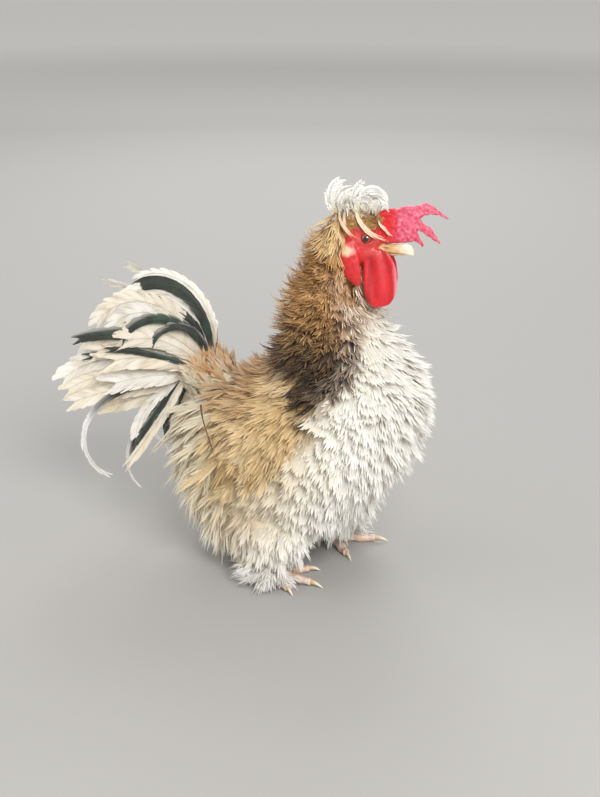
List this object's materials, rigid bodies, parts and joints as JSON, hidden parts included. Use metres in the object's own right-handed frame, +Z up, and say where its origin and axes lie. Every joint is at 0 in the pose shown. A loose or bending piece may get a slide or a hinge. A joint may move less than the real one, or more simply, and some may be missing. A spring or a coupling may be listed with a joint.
{
  "type": "frizzle bantam rooster",
  "caption": "Standing frizzle bantam rooster with curled feathers, small crest, large wattles, full tail and feathered feet; a still life-size model.",
  "frame": {"origin": "bottom centre of the bounding box, on the floor the bird stands on", "axes": "+X the way the bird faces, +Y its left side, +Z up"},
  "size_m": [0.3016, 0.167, 0.3105],
  "materials": {
    "face_skin": "satin",
    "comb_skin": "satin",
    "wattle_skin": "satin",
    "eye": "gloss",
    "beak": "satin",
    "white_feather": "matte",
    "hackle_feather": "matte",
    "gold_feather": "matte",
    "breast_feather": "matte",
    "tail_feather": "matte",
    "leg_scale": "matte",
    "claw": "satin"
  },
  "bodies": {
    "root": {"torso": "breast_feather", "neck": "hackle_feather", "head": "face_skin", "nape": "hackle_feather", "crest": "white_feather", "comb": "comb_skin", "beak_upper": "beak", "beak_lower": "beak", "tail": "tail_feather", "eye_R": "eye", "wattle_R": "wattle_skin", "earlobe_R": "wattle_skin", "wing_R": "gold_feather", "thigh_R": "white_feather", "shank_R": "leg_scale", "foot_R": "leg_scale", "claw_R_inner": "claw", "claw_R_middle": "claw", "claw_R_outer": "claw", "claw_R_hind": "claw", "eye_L": "eye", "wattle_L": "wattle_skin", "earlobe_L": "wattle_skin", "wing_L": "gold_feather", "thigh_L": "white_feather", "shank_L": "leg_scale", "foot_L": "leg_scale", "claw_L_inner": "claw", "claw_L_middle": "claw", "claw_L_outer": "claw", "claw_L_hind": "claw"}
  },
  "joints": []
}
